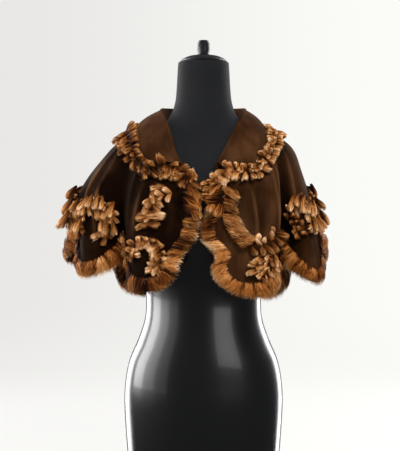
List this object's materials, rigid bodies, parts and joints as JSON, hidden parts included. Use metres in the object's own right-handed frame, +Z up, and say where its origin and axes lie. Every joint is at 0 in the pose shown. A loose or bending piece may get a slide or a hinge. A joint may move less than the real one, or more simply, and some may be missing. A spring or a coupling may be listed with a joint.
{
  "type": "fur-trimmed suede capelet on a limbless dress form",
  "caption": "Short suede cape with scalloped hem, flat collar and looped fur trim, worn by a black limbless dress form.",
  "frame": {"origin": "middle of the dress form's flat base", "axes": "+Z up the form's axis, the garment's front faces -Y, +X to the viewer's right"},
  "size_m": [0.5569, 0.3643, 0.9026],
  "materials": {
    "suede": "brushed suede, matte",
    "fur": "short brown fur with pale tips",
    "braid": "dark braid",
    "gloss_black": "polished black",
    "jersey_black": "matte black cover",
    "satin_black": "satin black"
  },
  "bodies": {
    "root": {"back": "suede", "closure": "braid", "collar": "suede", "collar_fur_left": "fur", "collar_fur_right": "fur", "form_neck": "jersey_black", "form_torso": "gloss_black", "front_fur_left": "fur", "front_fur_right": "fur", "front_left": "suede", "front_right": "suede", "hem_fur_back": "fur", "hem_fur_left": "fur", "hem_fur_right": "fur", "loops_1_left": "fur", "loops_1_right": "fur", "loops_back_1_left": "fur", "loops_back_1_right": "fur", "loops_back_centre": "fur", "loops_front_2_left": "fur", "loops_front_2_right": "fur", "loops_front_left": "fur", "loops_front_right": "fur", "loops_side_left": "fur", "loops_side_right": "fur", "neck_cap": "satin_black", "neck_knob": "satin_black"}
  },
  "joints": []
}
